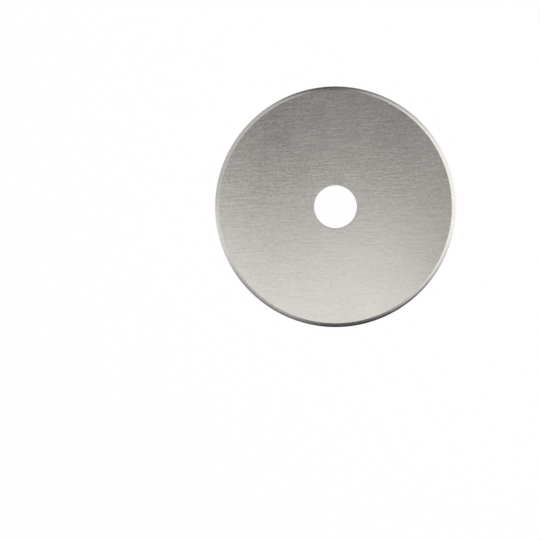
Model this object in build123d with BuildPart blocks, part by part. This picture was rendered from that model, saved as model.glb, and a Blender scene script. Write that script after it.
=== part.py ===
"""Round blade for a hand-held rotary fabric cutter.

The blade is one thin disc of hardened tool steel with a bore at its centre. Its rim is ground to
the same two-stage bevel on both faces: a shallow ground bevel, then a steeper honed facet
that runs out to the cutting edge in the middle of the thickness.

The blade lies flat, with its underside on Z = 0 and the axis of the bore along Z.
Lengths are in millimetres and angles in degrees.
"""

import os
from math import radians, tan

from build123d import *

# Driving sizes
blade_diameter = 45.0  # across the cutting edge
bore_diameter = 8.0  # seats on the cutter's spindle
blade_thickness = 0.3  # between the two flat faces
ground_bevel_angle = 8.5  # slope of the ground bevel from the flat face
honed_facet_angle = 14.5  # slope of the honed facet from the flat face
honed_facet_width = 0.36  # measured along the radius, on each face
bore_edge_radius = 0.08  # rounding at both mouths of the bore

# Sizes that follow from them
edge_radius = blade_diameter / 2
bore_radius = bore_diameter / 2
half_thickness = blade_thickness / 2
honed_facet_height = honed_facet_width * tan(radians(honed_facet_angle))
ground_bevel_width = (half_thickness - honed_facet_height) / tan(radians(ground_bevel_angle))
honed_facet_start = edge_radius - honed_facet_width
ground_bevel_start = honed_facet_start - ground_bevel_width

# The section stands on a plane through the axis, with its own X axis in the blade's mid-plane
section_plane = Plane.XZ.shift_origin((0, 0, half_thickness))

with BuildPart() as cutter_blade:
    with BuildSketch(section_plane):
        with BuildLine():
            Polyline(
                (bore_radius, 0),
                (bore_radius, half_thickness),
                (ground_bevel_start, half_thickness),
                (honed_facet_start, honed_facet_height),
                (edge_radius, 0),
            )
            mirror(about=Plane.XZ)
        make_face()
    revolve(axis=Axis.Z)

    # The mouths of the bore are the smallest circles on the disc
    circles = cutter_blade.edges().filter_by(GeomType.CIRCLE)
    fillet(circles.group_by(SortBy.RADIUS)[0], radius=bore_edge_radius)

cutter_blade.part.label = "cutter_blade"
os.makedirs("parts", exist_ok=True)
export_step(cutter_blade.part, "parts/cutter_blade.step")
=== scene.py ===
from math import pi, radians, tan

import bmesh
import bpy
from mathutils import Matrix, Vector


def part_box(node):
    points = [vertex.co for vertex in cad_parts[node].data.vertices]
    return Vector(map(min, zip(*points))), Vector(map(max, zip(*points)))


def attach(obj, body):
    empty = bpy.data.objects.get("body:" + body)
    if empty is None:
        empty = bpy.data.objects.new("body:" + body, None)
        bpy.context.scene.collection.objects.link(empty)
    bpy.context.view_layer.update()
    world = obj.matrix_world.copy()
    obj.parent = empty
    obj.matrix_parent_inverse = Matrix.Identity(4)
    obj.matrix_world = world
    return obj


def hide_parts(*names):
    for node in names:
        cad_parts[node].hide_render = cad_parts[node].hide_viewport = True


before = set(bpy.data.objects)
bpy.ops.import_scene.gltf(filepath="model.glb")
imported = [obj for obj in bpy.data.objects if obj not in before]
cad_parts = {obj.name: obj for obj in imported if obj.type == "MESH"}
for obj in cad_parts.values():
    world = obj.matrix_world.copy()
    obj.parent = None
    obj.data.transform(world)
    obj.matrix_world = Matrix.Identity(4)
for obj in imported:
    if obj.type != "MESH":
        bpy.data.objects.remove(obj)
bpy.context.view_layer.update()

# Sizes of the blade in metres, as the CAD solid has them
BLADE_LOW, BLADE_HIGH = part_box("cutter_blade")
EDGE_RADIUS = BLADE_HIGH.x
THICKNESS = BLADE_HIGH.z - BLADE_LOW.z
BORE_RADIUS = 0.004
BORE_MOUTH_RADIUS = 0.00008
GROUND_BEVEL_ANGLE = radians(8.5)
HONED_FACET_ANGLE = radians(14.5)
HONED_FACET_WIDTH = 0.00036
HONED_FACET_HEIGHT = HONED_FACET_WIDTH * tan(HONED_FACET_ANGLE)
HONED_START = EDGE_RADIUS - HONED_FACET_WIDTH
GROUND_START = HONED_START - (THICKNESS / 2 - HONED_FACET_HEIGHT) / tan(GROUND_BEVEL_ANGLE)

# The face dips by a few thousandths of a millimetre where the punch drew it down round the bore
DRAWN_EDGE_WIDTH = 0.0006
DRAWN_EDGE_DEPTH = 0.0000032
DRAWN_EDGE_STEPS = 6

# How finely the blade is turned, and how far the grinder's corners are softened
TURNING_STEPS = 512
MOUTH_STEPS = 8
CORNER_STEPS = 2
FACE_CORNER = 0.000012
FACET_CORNER = 0.000006
ROUNDING_FACE = 4e-9  # no face of a rounding is as large as this, in square metres
SAME_CIRCLE = 1e-6  # the ends of an edge are on one circle round the axis if they differ by less
MERGE_DISTANCE = 1e-7

# Places of the finishes in the blade's list of materials
BRUSHED_FACE, GROUND_BEVEL, HONED_FACET, PUNCHED_BORE = range(4)

# Colours of the steel. The dark one shows in the grooves, and in the bore along the torn lines.
STEEL_COLOUR = (0.690, 0.659, 0.619, 1)
STEEL_DARK = (0.586, 0.560, 0.526, 1)
GROUND_COLOUR = (0.805, 0.775, 0.745, 1)
GROUND_DARK = (0.689, 0.663, 0.637, 1)
BORE_COLOUR = (0.52, 0.50, 0.475, 1)
BORE_DARK = (0.33, 0.315, 0.30, 1)

# Depth of the tools' lines in metres
BRUSHED_DEPTH = 0.0000046
GROUND_DEPTH = 0.0000015
HONED_DEPTH = 0.0000008
PUNCHED_DEPTH = 0.000002

# The grain's lean off the blade's X axis. The grain's lines are weaker on the near side and stronger on the
# far side, in relief and in colour. In the colour this is painted shading, because the light shows the grain
# more on the far side. The places are in millimetres across the grain, and a strength of 1 shows the lines
# as strong as they are mixed.
GRAIN_LEAN = radians(3.5)
WEAK_GRAIN_AT, WEAK_GRAIN = -9.0, 0.74
STRONG_GRAIN_AT, STRONG_GRAIN = 6.0, 1.25

# How far the pattern round the bore moves along its lines for each step up a wall
UP_A_WALL = 3.0

# The bore's wall is burnished above the first height and torn below the second, in millimetres
BURNISHED_ABOVE, TORN_BELOW = 0.16, 0.12

# The sheet under the blade: its size, its grey under the lamps, and its grey and glow when it is looked at
PAPER_RADIUS = 6.0
PAPER_GREY = 0.85
SEEN_PAPER_GREY = 0.2
SEEN_PAPER_GLOW = 0.878

# How the room's light changes with height: from this share of straight up, to that one, by so much
ROOM_STEPS = ((0.125, 0.35, -0.5), (0.70, 0.825, -0.452))

# Where the camera stands, and the width of what it sees at the blade's upper face
CAMERA_HEIGHT = 0.4
FRAME_WIDTH = 0.1009
BLADE_RIGHT_OF_MIDDLE = 0.01224
BLADE_ABOVE_MIDDLE = 0.01182


# Node helpers

def put(tree, kind, inputs=None, **settings):
    """Adds a node. An input given as a socket is linked, and any other value is typed in."""
    made = tree.nodes.new(kind)
    for name, value in settings.items():
        setattr(made, name, value)
    for name, value in (inputs or {}).items():
        if isinstance(value, bpy.types.NodeSocket):
            tree.links.new(value, made.inputs[name])
        else:
            made.inputs[name].default_value = value
    return made


def sums(tree, operation, *values, clamp=False):
    """A Math node's answer."""
    made = put(tree, "ShaderNodeMath", dict(enumerate(values)), operation=operation, use_clamp=clamp)
    return made.outputs[0]


def vectors(tree, operation, *values):
    """A Vector Math node's answer."""
    return put(tree, "ShaderNodeVectorMath", dict(enumerate(values)), operation=operation).outputs[0]


def scaled(tree, vector, scale):
    """A vector made longer or shorter."""
    return put(tree, "ShaderNodeVectorMath", {0: vector, "Scale": scale}, operation="SCALE").outputs[0]


def split(tree, vector):
    """A vector's X, Y and Z, by name."""
    return put(tree, "ShaderNodeSeparateXYZ", {0: vector}).outputs


def joined(tree, **parts):
    """A vector from its X, Y and Z, where one that isn't given is 0."""
    return put(tree, "ShaderNodeCombineXYZ", parts).outputs[0]


def stretch(tree, value, low, high, to_low=0.0, to_high=1.0, ease="LINEAR"):
    """Spreads the part of a value between low and high over a new range, evenly or with soft ends."""
    return put(tree, "ShaderNodeMapRange",
               {"Value": value, "From Min": low, "From Max": high, "To Min": to_low, "To Max": to_high},
               interpolation_type=ease).outputs[0]


def mix_patterns(tree, *parts):
    """Several patterns added up, each with its share."""
    total = 0.0
    for pattern, share in parts:
        total = sums(tree, "MULTIPLY_ADD", pattern, share, total)
    return total


def blend_colours(tree, share, first, second):
    """The first colour where share is 0 and the second where it is 1."""
    return put(tree, "ShaderNodeMix", {0: share, 6: first, 7: second}, data_type="RGBA").outputs[2]


def new_group(name, inputs, outputs):
    """An empty shader node group with these sockets, as its tree, its input node and its output node."""
    tree = bpy.data.node_groups.new(name, "ShaderNodeTree")
    for title, (kind, value) in inputs.items():
        socket = tree.interface.new_socket(name=title, in_out="INPUT", socket_type=kind)
        if value is not None:
            socket.default_value = value
    for title, kind in outputs.items():
        tree.interface.new_socket(name=title, in_out="OUTPUT", socket_type=kind)
    return tree, tree.nodes.new("NodeGroupInput"), tree.nodes.new("NodeGroupOutput")


def use_group(tree, group, inputs):
    """Places a node group in a material with its own values, and gives what the group puts out."""
    made = tree.nodes.new("ShaderNodeGroup")
    made.node_tree = group
    for name, value in inputs.items():
        if isinstance(value, bpy.types.NodeSocket):
            tree.links.new(value, made.inputs[name])
        else:
            made.inputs[name].default_value = value
    return made.outputs[0]


# Effects that more than one finish uses

NUMBER, VECTOR = "NodeSocketFloat", "NodeSocketVector"


def make_grain_group():
    """Fine parallel lines left by a belt, a punch or a stone: long along the pattern's X and thin across."""
    tree, given, made = new_group(
        "tool_lines",
        {"Place": (VECTOR, None), "Line Length": (NUMBER, 4.0), "Line Width": (NUMBER, 0.3),
         "Waver": (NUMBER, 0.0), "Contrast": (NUMBER, 1.0)},
        {"Lines": NUMBER})
    given = given.outputs
    waver = put(tree, "ShaderNodeTexNoise", {"Vector": given["Place"], "Scale": 0.12, "Detail": 1.0})
    sideways = sums(tree, "MULTIPLY", sums(tree, "SUBTRACT", waver.outputs["Fac"], 0.5), given["Waver"])
    wavy = vectors(tree, "ADD", given["Place"], joined(tree, Y=sideways))
    cell = joined(tree, X=given["Line Length"], Y=given["Line Width"], Z=given["Line Width"])
    lines = put(tree, "ShaderNodeTexNoise", {
        "Vector": vectors(tree, "DIVIDE", wavy, cell), "Scale": 1.0, "Detail": 1.0, "Roughness": 0.5})
    off_middle = sums(tree, "SUBTRACT", lines.outputs["Fac"], 0.5)
    spread = sums(tree, "MULTIPLY_ADD", off_middle, given["Contrast"], 0.5)
    tree.links.new(sums(tree, "ADD", spread, 0.0, clamp=True), made.inputs["Lines"])
    return tree


def make_turned_place_group():
    """Lays a pattern round the bore's axis, with no seam.

    Its X runs outwards along the radius and up a wall, and its Y and Z go round. Slant turns the lines
    off the radius.
    """
    tree, given, made = new_group(
        "round_the_bore",
        {"Place": (VECTOR, None), "Slant": (NUMBER, 0.0), "Ring Radius": (NUMBER, 22.3)},
        {"Place": VECTOR})
    given = given.outputs
    flat = vectors(tree, "MULTIPLY", given["Place"], (1, 1, 0))
    out = put(tree, "ShaderNodeVectorMath", {0: flat}, operation="LENGTH").outputs["Value"]
    past_ring = sums(tree, "SUBTRACT", out, given["Ring Radius"])
    turned = put(tree, "ShaderNodeVectorRotate",
                 {"Vector": flat, "Angle": sums(tree, "MULTIPLY", past_ring, given["Slant"])},
                 rotation_type="Z_AXIS")
    on_ring = split(tree, scaled(tree, vectors(tree, "NORMALIZE", turned.outputs[0]), given["Ring Radius"]))
    height = split(tree, given["Place"])["Z"]
    along = sums(tree, "ADD", out, sums(tree, "MULTIPLY", height, UP_A_WALL))
    tree.links.new(joined(tree, X=along, Y=on_ring["X"], Z=on_ring["Y"]), made.inputs["Place"])
    return tree


def make_handling_group():
    """Soft cloudy patches, where handling has dulled the steel a little."""
    tree, given, made = new_group(
        "handling_marks", {"Place": (VECTOR, None), "Patch Size": (NUMBER, 6.0)}, {"Patches": NUMBER})
    size = given.outputs["Patch Size"]
    patches = put(tree, "ShaderNodeTexNoise", {
        "Vector": vectors(tree, "DIVIDE", given.outputs["Place"], joined(tree, X=size, Y=size, Z=size)),
        "Scale": 1.0, "Detail": 3.0, "Roughness": 0.5})
    tree.links.new(stretch(tree, patches.outputs["Fac"], 0.3, 0.7), made.inputs["Patches"])
    return tree


TOOL_LINES = make_grain_group()
ROUND_THE_BORE = make_turned_place_group()
HANDLING_MARKS = make_handling_group()


# Finishes

def new_material(name):
    """A material with its Principled shader, and the point on the piece in millimetres."""
    made = bpy.data.materials.new(name)
    made.use_nodes = True
    tree = made.node_tree
    spot = put(tree, "ShaderNodeTexCoord").outputs["Object"]
    return made, tree, tree.nodes["Principled BSDF"], scaled(tree, spot, 1000.0)


def lines_along(tree, place, length, width, contrast, waver=0.0):
    """Tool lines of this length and width in millimetres: 0 in the grooves and 1 on the ridges."""
    return use_group(tree, TOOL_LINES, {
        "Place": place, "Line Length": length, "Line Width": width, "Contrast": contrast, "Waver": waver})


def lines_round_bore(tree, place, ring_radius, slant, length, width, contrast):
    """Tool lines that run along the radius, true to their width at the ring radius in millimetres."""
    turned = use_group(tree, ROUND_THE_BORE, {"Place": place, "Slant": slant, "Ring Radius": ring_radius})
    return lines_along(tree, turned, length, width, contrast)


def set_bare_steel(tree, shader, colour, roughness, height, depth):
    """Bare metal with this colour, roughness and fine relief."""
    tree.links.new(colour, shader.inputs["Base Color"])
    tree.links.new(roughness, shader.inputs["Roughness"])
    bump = put(tree, "ShaderNodeBump", {"Height": height, "Strength": 1.0, "Distance": depth})
    tree.links.new(bump.outputs[0], shader.inputs["Normal"])
    shader.inputs["Metallic"].default_value = 1.0


def make_brushed_face():
    """Strip steel brushed one way, nearly along X.

    Strokes, longer streaks, short speckle and a few dark dashes lie over one another, each from its own
    place in the noise.
    """
    made, tree, shader, place = new_material("brushed_blade_steel")
    level = put(tree, "ShaderNodeMapping", {"Vector": place, "Rotation": (0, 0, -GRAIN_LEAN)}).outputs[0]
    strokes = lines_along(tree, vectors(tree, "ADD", level, (7.3, 3.1, 2.4)),
                          length=2.2, width=0.34, contrast=2.0, waver=0.15)
    streaks = lines_along(tree, vectors(tree, "ADD", level, (13.7, 47.2, 9.6)),
                          length=7.0, width=0.55, contrast=2.2, waver=0.15)
    speckle = lines_along(tree, vectors(tree, "ADD", level, (31.4, 17.7, 5.3)),
                          length=0.4, width=0.34, contrast=2.6)
    dashes = lines_along(tree, vectors(tree, "ADD", level, (5.6, 23.9, 41.3)),
                         length=2.0, width=0.36, contrast=2.8)
    deepest_dashes = stretch(tree, dashes, 0.15, 0.0)
    # Painted shading: the grain's colour contrast grows towards the far side, where the light shows the
    # grain more, and its relief grows with it
    grain_strength = stretch(tree, split(tree, level)["Y"], WEAK_GRAIN_AT, STRONG_GRAIN_AT, WEAK_GRAIN, STRONG_GRAIN,
                   ease="SMOOTHSTEP")

    lines = mix_patterns(tree, (streaks, 0.24), (speckle, 0.48), (strokes, 0.28), (deepest_dashes, -0.3))
    lines = sums(tree, "MULTIPLY_ADD", sums(tree, "SUBTRACT", lines, 0.5), grain_strength, 0.5)
    colour = blend_colours(tree, stretch(tree, lines, 0.2, 0.8), STEEL_DARK, STEEL_COLOUR)
    patches = use_group(tree, HANDLING_MARKS, {"Place": place, "Patch Size": 5.0})
    roughness = sums(tree, "MULTIPLY_ADD", patches, 0.02, sums(tree, "MULTIPLY_ADD", lines, 0.03, 0.155))

    relief = mix_patterns(tree, (streaks, 0.23), (speckle, 0.25), (strokes, 0.52))
    relief = sums(tree, "MULTIPLY", sums(tree, "SUBTRACT", relief, 0.5), grain_strength)
    set_bare_steel(tree, shader, colour, roughness, relief, BRUSHED_DEPTH)

    shader.inputs["Anisotropic"].default_value = 0.5
    across_grain = put(tree, "ShaderNodeVectorTransform", {0: (0, 1, 0)}, vector_type="VECTOR",
                       convert_from="OBJECT", convert_to="WORLD")
    tree.links.new(across_grain.outputs[0], shader.inputs["Tangent"])
    return made


def make_ground_bevel():
    """The wide bevel from the grinding wheel: bright, with fine lines along the radius."""
    made, tree, shader, place = new_material("ground_bevel_steel")
    lines = lines_round_bore(tree, place, ring_radius=22.05, slant=0.02,
                             length=1.5, width=0.16, contrast=1.8)
    colour = blend_colours(tree, stretch(tree, lines, 0.2, 0.8), GROUND_DARK, GROUND_COLOUR)
    patches = use_group(tree, HANDLING_MARKS, {"Place": place, "Patch Size": 2.5})
    roughness = sums(tree, "MULTIPLY_ADD", patches, 0.03, sums(tree, "MULTIPLY_ADD", lines, 0.04, 0.155))
    set_bare_steel(tree, shader, colour, roughness, lines, GROUND_DEPTH)
    return made


def make_honed_facet():
    """The narrow facet at the edge, off the fine stone: smoother, with close, faint lines."""
    made, tree, shader, place = new_material("honed_edge_steel")
    lines = lines_round_bore(tree, place, ring_radius=22.4, slant=-0.03,
                             length=0.8, width=0.1, contrast=1.6)
    colour = blend_colours(tree, stretch(tree, lines, 0.2, 0.8), GROUND_DARK, GROUND_COLOUR)
    roughness = sums(tree, "MULTIPLY_ADD", lines, 0.04, 0.13)
    set_bare_steel(tree, shader, colour, roughness, lines, HONED_DEPTH)
    return made


def make_punched_bore():
    """The wall of the bore: burnished by the punch in its upper part and torn in its lower part."""
    made, tree, shader, place = new_material("punched_bore_steel")
    lines = lines_round_bore(tree, place, ring_radius=4.0, slant=0.0,
                             length=0.9, width=0.05, contrast=2.0)
    ragged_height = sums(tree, "MULTIPLY_ADD", lines, 0.05, split(tree, place)["Z"])
    torn = stretch(tree, ragged_height, BURNISHED_ABOVE, TORN_BELOW)
    colour = blend_colours(tree, sums(tree, "MULTIPLY", torn, lines), BORE_COLOUR, BORE_DARK)
    roughness = sums(tree, "MULTIPLY_ADD", torn, 0.25, 0.24)
    set_bare_steel(tree, shader, colour, roughness, lines, PUNCHED_DEPTH)
    return made


# The blade

def draw_half_section(mesh):
    """The upper half of the blade's section as a wire in the XZ plane, with its corners softened."""
    middle, top = THICKNESS / 2, THICKNESS
    shares = [step / DRAWN_EDGE_STEPS for step in range(DRAWN_EDGE_STEPS + 1)]
    drawn_edge = [(BORE_RADIUS + DRAWN_EDGE_WIDTH * share, top - DRAWN_EDGE_DEPTH * (1 - share) ** 2)
                  for share in shares]
    section = [(BORE_RADIUS, middle), *drawn_edge, (GROUND_START, top),
               (HONED_START, middle + HONED_FACET_HEIGHT), (EDGE_RADIUS, middle)]
    corners = [mesh.verts.new((out, 0, up)) for out, up in section]
    for first, second in zip(corners, corners[1:]):
        mesh.edges.new((first, second))
    for corner, width, steps in ((corners[1], BORE_MOUTH_RADIUS, MOUTH_STEPS),
                                 (corners[-3], FACE_CORNER, CORNER_STEPS),
                                 (corners[-2], FACET_CORNER, CORNER_STEPS)):
        bmesh.ops.bevel(mesh, geom=[corner], offset=width, offset_type="OFFSET", affect="VERTICES",
                        segments=steps, profile=0.5, material=-1, clamp_overlap=False)


def finish_of(face):
    """The finish that a face of the turned blade gets, by where it lies."""
    out = face.calc_center_median().xy.length
    if out < BORE_RADIUS + BORE_MOUTH_RADIUS:
        return PUNCHED_BORE
    if out < GROUND_START - FACE_CORNER:
        return BRUSHED_FACE
    return GROUND_BEVEL if out < HONED_START else HONED_FACET


def borders_flat_zone(edge):
    """True for a circle round the axis beside a flat zone. Within a rounding the circles stay smooth."""
    first, second = edge.verts
    off_circle = abs(first.co.xy.length - second.co.xy.length) + abs(first.co.z - second.co.z)
    return off_circle < SAME_CIRCLE and max(face.calc_area() for face in edge.link_faces) > ROUNDING_FACE


def turn_blade():
    """The whole blade as one closed ring, with a finish for each zone."""
    mesh = bmesh.new()
    draw_half_section(mesh)
    bmesh.ops.mirror(mesh, geom=mesh.verts[:] + mesh.edges[:], axis="Z", merge_dist=MERGE_DISTANCE,
                     matrix=Matrix.Translation((0, 0, -THICKNESS / 2)))
    bmesh.ops.spin(mesh, geom=mesh.verts[:] + mesh.edges[:], cent=(0, 0, 0), axis=(0, 0, 1), angle=2 * pi,
                   steps=TURNING_STEPS, use_merge=True)
    bmesh.ops.remove_doubles(mesh, verts=mesh.verts[:], dist=MERGE_DISTANCE)
    bmesh.ops.recalc_face_normals(mesh, faces=mesh.faces[:])
    for face in mesh.faces:
        face.material_index = finish_of(face)
        face.smooth = True
    for edge in mesh.edges:
        edge.smooth = not borders_flat_zone(edge)
    return mesh


def new_object(name, mesh, *materials):
    """Puts a finished mesh in the scene, at the origin."""
    data = bpy.data.meshes.new(name)
    mesh.to_mesh(data)
    mesh.free()
    for material in materials:
        data.materials.append(material)
    made = bpy.data.objects.new(name, data)
    bpy.context.scene.collection.objects.link(made)
    return made


# Paper, lights and camera

def grey(level):
    """A neutral colour."""
    return level, level, level, 1


def make_paper():
    """White paper: as good as white to the camera and in reflections, with the blade's own shadow on it."""
    made = bpy.data.materials.new("white_paper")
    made.use_nodes = True
    tree = made.node_tree
    tree.nodes.remove(tree.nodes["Principled BSDF"])
    plain = put(tree, "ShaderNodeBsdfDiffuse", {"Color": grey(PAPER_GREY)})
    shaded = put(tree, "ShaderNodeBsdfDiffuse", {"Color": grey(SEEN_PAPER_GREY)})
    white = put(tree, "ShaderNodeEmission", {"Color": grey(1), "Strength": SEEN_PAPER_GLOW})
    seen = put(tree, "ShaderNodeAddShader", {0: shaded.outputs[0], 1: white.outputs[0]})
    path = put(tree, "ShaderNodeLightPath").outputs
    mirrored = sums(tree, "MAXIMUM", path["Is Glossy Ray"], path["Is Transmission Ray"])
    looked_at = sums(tree, "MAXIMUM", path["Is Camera Ray"], mirrored)
    mixed = put(tree, "ShaderNodeMixShader", {0: looked_at, 1: plain.outputs[0], 2: seen.outputs[0]})
    tree.links.new(mixed.outputs[0], tree.nodes["Material Output"].inputs["Surface"])
    return made


def lay_paper():
    """A round sheet far wider than any view."""
    mesh = bmesh.new()
    bmesh.ops.create_circle(mesh, cap_ends=True, segments=96, radius=PAPER_RADIUS)
    return new_object("paper", mesh, make_paper())


def hang_panel(name, centre, size, turn, brightness, fades):
    """A soft box that shines straight down; brightness is what a mirror under its middle would show.

    It fades out towards its edges, over these shares of its width and its depth: left, right, near, far.
    """
    lamp = bpy.data.lights.new(name, "AREA")
    lamp.shape = "RECTANGLE"
    lamp.size, lamp.size_y = size
    lamp.energy = brightness * pi * size[0] * size[1]
    lamp.use_nodes = True
    tree = lamp.node_tree
    spot = split(tree, put(tree, "ShaderNodeNewGeometry").outputs["Parametric"])
    left, right, near, far = fades
    glow = 1.0
    for axis, edge, inside in (("X", 0.0, left), ("X", 1.0, 1.0 - right),
                               ("Y", 0.0, near), ("Y", 1.0, 1.0 - far)):
        glow = sums(tree, "MULTIPLY", glow, stretch(tree, spot[axis], edge, inside, ease="SMOOTHSTEP"))
    tree.links.new(glow, tree.nodes["Emission"].inputs["Strength"])
    made = bpy.data.objects.new(name, lamp)
    made.location = centre
    made.rotation_euler.z = radians(turn)
    made.visible_camera = False
    bpy.context.scene.collection.objects.link(made)


def light_room():
    """The room's own light: white at the horizon, grey on the walls and dim overhead."""
    world = bpy.data.worlds.new("studio_room")
    world.use_nodes = True
    tree = world.node_tree
    up = split(tree, put(tree, "ShaderNodeTexCoord").outputs["Generated"])["Z"]
    level = 1.0
    for start, end, change in ROOM_STEPS:
        level = sums(tree, "ADD", level, stretch(tree, up, start, end, 0.0, change, ease="SMOOTHSTEP"))
    tree.links.new(level, tree.nodes["Background"].inputs["Strength"])
    tree.nodes["Background"].inputs["Color"].default_value = grey(1)
    bpy.context.scene.world = world


def stand_camera():
    """Looks straight down, with the blade up and to the right of the middle as in the photograph."""
    view = bpy.data.cameras.new("camera")
    view.lens = view.sensor_width * CAMERA_HEIGHT / FRAME_WIDTH
    view.clip_start = 0.01
    made = bpy.data.objects.new("camera", view)
    made.location = (-BLADE_RIGHT_OF_MIDDLE, -BLADE_ABOVE_MIDDLE, CAMERA_HEIGHT + THICKNESS)
    bpy.context.scene.collection.objects.link(made)
    bpy.context.scene.camera = made


stand_camera()

blade = new_object("blade", turn_blade(), make_brushed_face(), make_ground_bevel(), make_honed_facet(),
                   make_punched_bore())
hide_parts("cutter_blade")
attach(blade, "root")

lay_paper()
light_room()
hang_panel("overhead_panel", centre=(-0.005, -0.0325, 0.30), size=(0.146, 0.149), turn=16, brightness=1.28,
           fades=(0.36, 0.28, 0.40, 0.55))
hang_panel("overhead_fill", centre=(0.007, 0.062, 0.43), size=(0.054, 0.094), turn=-11, brightness=0.32,
           fades=(0.55, 0.25, 0.32, 0.39))
hang_panel("right_panel", centre=(0.233, 0.082, 0.45), size=(0.425, 0.69), turn=8, brightness=1.17,
           fades=(0.27, 0.18, 0.34, 0.50))
hang_panel("left_panel", centre=(-0.214, -0.048, 0.46), size=(0.394, 0.76), turn=-1.5, brightness=0.56,
           fades=(0.09, 0.08, 0.55, 0.08))
hang_panel("left_glow", centre=(-0.224, -0.036, 0.44), size=(0.178, 0.196), turn=21, brightness=0.56,
           fades=(0.37, 0.36, 0.21, 0.47))

bpy.context.scene.view_settings.view_transform = "Standard"
